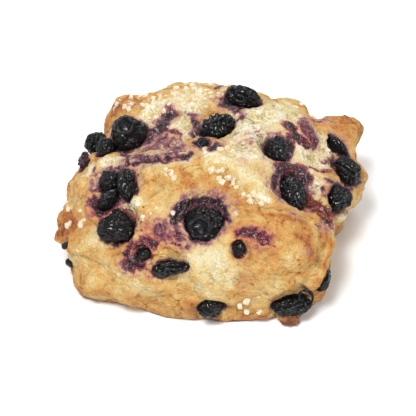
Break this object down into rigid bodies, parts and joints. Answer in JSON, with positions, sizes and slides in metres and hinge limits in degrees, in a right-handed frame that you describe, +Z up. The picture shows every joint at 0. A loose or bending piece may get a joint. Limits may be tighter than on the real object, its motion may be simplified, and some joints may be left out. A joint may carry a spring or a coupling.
{
  "type": "blueberry scone",
  "caption": "Thick rounded-square blueberry scone with a flat underside, an uneven browned top, whole baked berries seated in it and coarse sugar on top.",
  "frame": {"origin": "middle of the flat underside, on the table", "axes": "+Z up, +X to the right and +Y to the back of the scone as the picture shows it"},
  "size_m": [0.1009, 0.0918, 0.0445],
  "materials": {
    "dough": "matt baked crust, golden to brown, with pale crumb and berry stains",
    "berry": "wrinkled near-black berry skin with a moist sheen"
  },
  "bodies": {
    "root": {"dough": "dough", "berry_crown": "berry", "berry_top": "berry", "berry_top_small": "berry", "berry_back_long": "berry", "berry_left_rear": "berry", "berry_left_edge": "berry", "berry_left_notch": "berry", "berry_left_mid": "berry", "berry_left_inner": "berry", "berry_left_small": "berry", "berry_left_front": "berry", "berry_flap": "berry", "berry_sliver": "berry", "berry_right_inner": "berry", "berry_right_mid": "berry", "berry_right_low": "berry", "berry_right_high": "berry", "berry_right_strip": "berry", "berry_front_low": "berry", "berry_front_corner": "berry", "berry_right_wall": "berry", "berry_left_wall": "berry", "berry_left_foot": "berry", "berry_notch": "berry", "berry_back_wall": "berry", "berry_back_low": "berry", "berry_knob_side": "berry", "berry_back_corner": "berry"}
  },
  "joints": []
}
